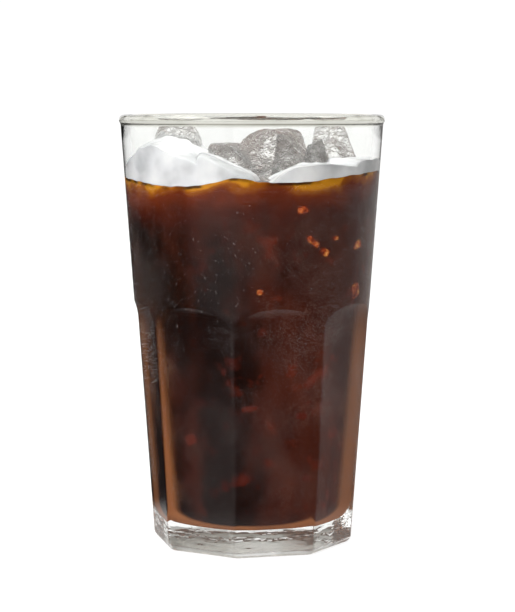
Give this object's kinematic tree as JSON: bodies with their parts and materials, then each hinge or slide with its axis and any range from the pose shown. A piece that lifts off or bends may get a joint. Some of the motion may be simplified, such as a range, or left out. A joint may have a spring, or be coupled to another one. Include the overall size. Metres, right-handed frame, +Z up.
{
  "type": "iced coffee",
  "caption": "Tall conical tumbler with arched flats, a clear thick foot and a beaded lip, filled with black coffee and floating ice.",
  "frame": {"origin": "centre of the glass's underside, on the table", "axes": "+Z up along the glass's axis, +X to the right and -Y towards the viewer in the front view"},
  "size_m": [0.086, 0.086, 0.1394],
  "materials": {
    "glass": "clear pressed glass, fogged outside below the drink's level",
    "coffee": "dark translucent liquid",
    "ice": "clear and frosted wet ice"
  },
  "bodies": {
    "root": {"glass": "glass", "coffee": "coffee", "ice_left": "ice", "ice_small": "ice", "ice_middle": "ice", "ice_right": "ice", "ice_front": "ice"}
  },
  "joints": []
}
